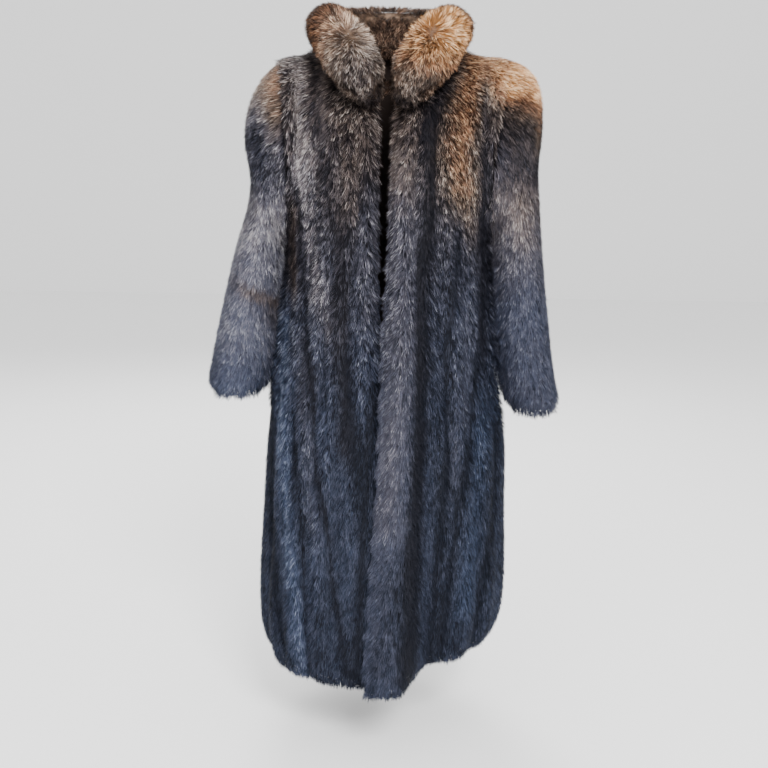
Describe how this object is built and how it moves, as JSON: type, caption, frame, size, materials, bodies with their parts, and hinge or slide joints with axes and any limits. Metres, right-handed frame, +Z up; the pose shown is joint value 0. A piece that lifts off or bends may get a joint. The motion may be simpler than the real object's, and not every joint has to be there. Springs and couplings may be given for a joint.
{
  "type": "fur coat",
  "caption": "Full-length long-haired fur coat in its worn shape, hollow, with wide puffed shoulders, a rolled standing collar and lapped fronts.",
  "frame": {"origin": "where the wearer carries the coat: between the shoulders, at the foot of the neck", "axes": "+Z up, -Y out of the coat's front, +X to the wearer's left"},
  "size_m": [0.725, 0.5115, 1.3388],
  "materials": {
    "front_right_fur": "long-haired fox fur, cool silver grey over dark brown",
    "front_left_fur": "long-haired fox fur, warm grey brown with an orange-brown strip",
    "back_fur": "long-haired fox fur, silver brown",
    "sleeve_right_fur": "long-haired fox fur, warm grey brown",
    "sleeve_left_fur": "long-haired fox fur, warm grey brown, lighter on the shoulder",
    "collar_fur": "long-haired fox fur, silvery cream and golden brown"
  },
  "bodies": {
    "root": {"front_right": "front_right_fur", "front_left": "front_left_fur", "back": "back_fur", "sleeve_right": "sleeve_right_fur", "sleeve_left": "sleeve_left_fur", "collar": "collar_fur"}
  },
  "joints": []
}
